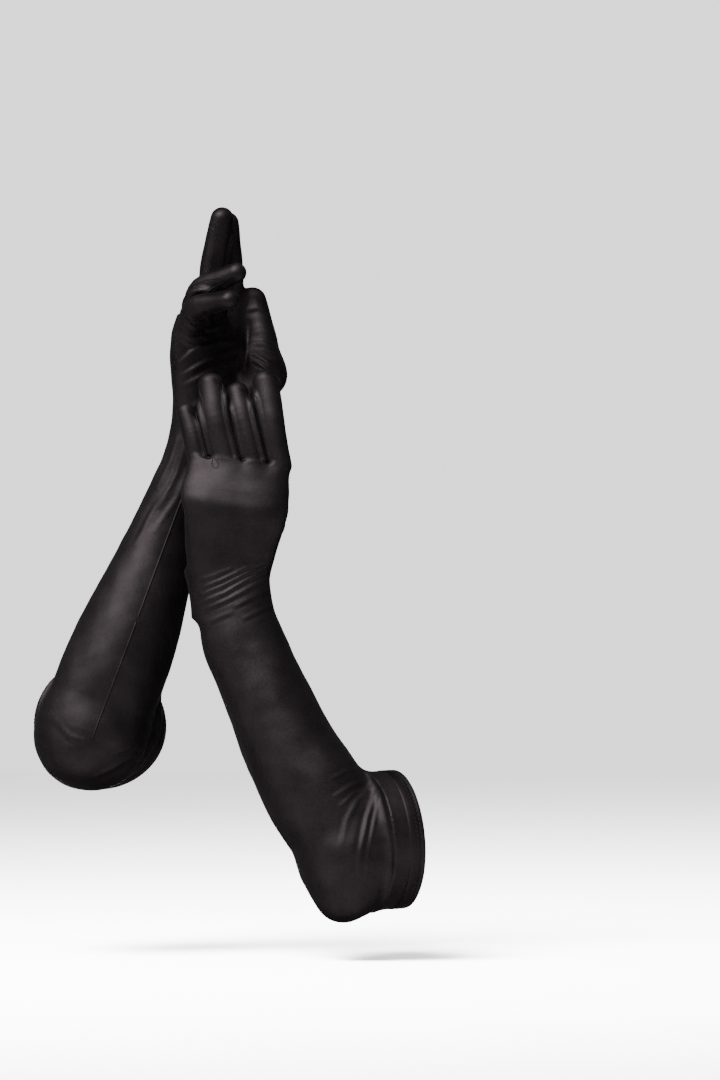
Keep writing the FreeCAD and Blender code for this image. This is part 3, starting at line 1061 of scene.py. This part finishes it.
def make_finger_seams(skin, spans):
    """The raised seams on both edges of each fourchette, and the turn that joins them in the crotch."""
    g, side = skin.glove, skin.glove.side
    foot = {}
    for name in FINGERS:
        for part, way in skin.strips(name):
            for lift, face in ((1, "back"), (-1, "palm")):
                points = strip_edge(skin, name, way, lift, 0.12)
                if len(points) < 6:
                    continue
                foot[name, part, face] = points[0], points[1]
                welt = tube_object(f"{side}_{name}{part}_{face}_welt", points, WELT)
                finish_piece(welt, SEAM_SATIN, "seam")
                blend_digit(welt, side, name, spans[name])
    for first, second in zip(FINGERS[:-1], FINGERS[1:]):
        for face, lift in (("back", 1), ("palm", -1)):
            outer = foot.get((first, "_outer_fourchette", face))
            inner = foot.get((second, "_inner_fourchette", face))
            if outer is None or inner is None:
                continue
            points = crotch_line(skin, g.digits[first], g.digits[second], outer, inner, lift)
            if len(points) > 5:
                turn = tube_object(f"{side}_{first}_crotch_{face}_welt", points, WELT)
                finish_piece(turn, SEAM_SATIN, "seam")
                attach(turn, side + "_hand")


def crotch_line(skin, a, b, outer, inner, lift):
    """The U that joins two seams below the gap between fingers a and b, if they point nearly the same way."""
    if a.along() @ b.along() < 0.98:
        return []
    (a0, a1), (b0, b1) = outer, inner
    below = -unit(a.along() + b.along())
    middle = (a0 + b0) / 2 + below * 3.6
    first_turn = a0 + below * 2.2 + (b0 - a0) * 0.1
    last_turn = b0 + below * 2.2 + (a0 - b0) * 0.1
    control = np.array([a1, a0, first_turn, middle, last_turn, b0, b1])
    look = unit(a.back + b.back) * lift
    points = []
    for t in np.linspace(0, 1, 30):
        at = np.array([t * 6])
        q = np.array([smooth_curve(np.arange(7.0), control[:, i], at)[0] for i in range(3)])
        hit = skin.on_surface(q + look * 12.0, -look)
        if hit is not None and np.linalg.norm(hit - q) < 8.0:
            points.append(hit - look * 0.15)
    return points


def seam_points(skin, starts, ways, sink):
    """Points a little inside the skin, where lines from starts along ways leave it."""
    points = []
    for start, way in zip(starts, ways):
        hit = skin.on_surface(start, way)
        if hit is not None:
            points.append(hit - np.asarray(way) * sink)
    return points


def make_side_seam(skin, seam_side, elbow_span):
    """The long seam down the outside of the sleeve, in a forearm part and an elbow part."""
    g, side = skin.glove, skin.glove.side
    way = unit(np.array(seam_side) - g.down * (np.array(seam_side) @ g.down))
    for label, first, last in (("forearm", 0.10, 0.615), ("elbow", 0.615, 1.02)):
        shares = np.arange(first, last + 0.006, 0.012)
        starts = [g.wrist + g.down * g.reach * s for s in shares]
        points = seam_points(skin, starts, [way] * len(starts), 0.2)
        seam = tube_object(f"{side}_{label}_seam_welt", points, SIDE_WELT)
        if label == "forearm":
            finish_piece(seam, SATIN, "seam", [side + "_side_seam"])
            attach(seam, side + "_forearm")
        else:
            finish_piece(seam, SATIN, "seam")
            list(elbow_span)
            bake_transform(seam)


def build(glove, folds, seam_side):
    """One whole glove. Its side seam runs down the side of the sleeve that faces seam_side."""
    skin = Skin(glove, folds)
    spans, elbow_span = make_body_pieces(skin)
    make_finger_seams(skin, spans)
    make_hem(glove)
    make_hem_stitches(glove)
    make_side_seam(skin, seam_side, elbow_span)


# ---------------------------------------------------------------- stage, light and camera


def area_light(name, place, target, size, power, spread):
    """A soft box at place, aimed at target."""
    data = bpy.data.lights.new(name, "AREA")
    data.shape = "RECTANGLE"
    data.size, data.size_y = size
    data.energy = power
    data.spread = math.radians(spread)
    obj = bpy.data.objects.new(name, data)
    bpy.context.scene.collection.objects.link(obj)
    obj.location = place
    obj.rotation_mode = "QUATERNION"
    obj.rotation_quaternion = (Vector(target) - Vector(place)).to_track_quat("-Z", "Y")


def make_stage():
    """A plain pale floor a little below the gloves."""
    floor = float(cad_box[0][2]) - 0.03
    reach = 4.0
    mesh = bpy.data.meshes.new("stage")
    corners = [(-reach, -reach, floor), (reach, -reach, floor), (reach, reach, floor), (-reach, reach, floor)]
    mesh.from_pydata(corners, [], [(0, 1, 2, 3)])
    stage = bpy.data.objects.new("stage", mesh)
    bpy.context.scene.collection.objects.link(stage)
    mesh.materials.append(stage_material())


def make_lights():
    """A large key light from the upper left, a weak fill, and a bright plain surround."""
    area_light("key", (-1.0, -1.5, 2.2), (0, 0, 0.02), (1.7, 1.7), 230, 60)
    area_light("fill", (-2.0, -0.9, 0.1), (0, 0, -0.05), (0.5, 1.4), 6, 50)
    world = bpy.data.worlds.new("studio")
    bpy.context.scene.world = world
    world.use_nodes = True
    surround = world.node_tree.nodes["Background"]
    surround.inputs["Color"].default_value = (1, 1, 1, 1)
    surround.inputs["Strength"].default_value = 1.75


def make_camera():
    """A level, long-lens view along +Y."""
    view_height = 0.7884  # m of the gloves' plane that the frame's height takes in
    centre_x, centre_z = 0.0956, 0.035  # m, where the middle of the frame falls on that plane
    distance = 5.0
    data = bpy.data.cameras.new("camera")
    data.sensor_width = 36.0
    data.lens = data.sensor_width * distance / view_height
    data.clip_end = 50.0
    camera = bpy.data.objects.new("camera", data)
    bpy.context.scene.collection.objects.link(camera)
    camera.location = (centre_x, -distance, centre_z)
    camera.rotation_euler = (math.pi / 2, 0, 0)
    bpy.context.scene.camera = camera


make_camera()
make_stage()
make_lights()
build(make_left(), LEFT_FOLDS, (-0.9, 0.3, 0))
build(make_right(), RIGHT_FOLDS, (0.1, -1, 0))
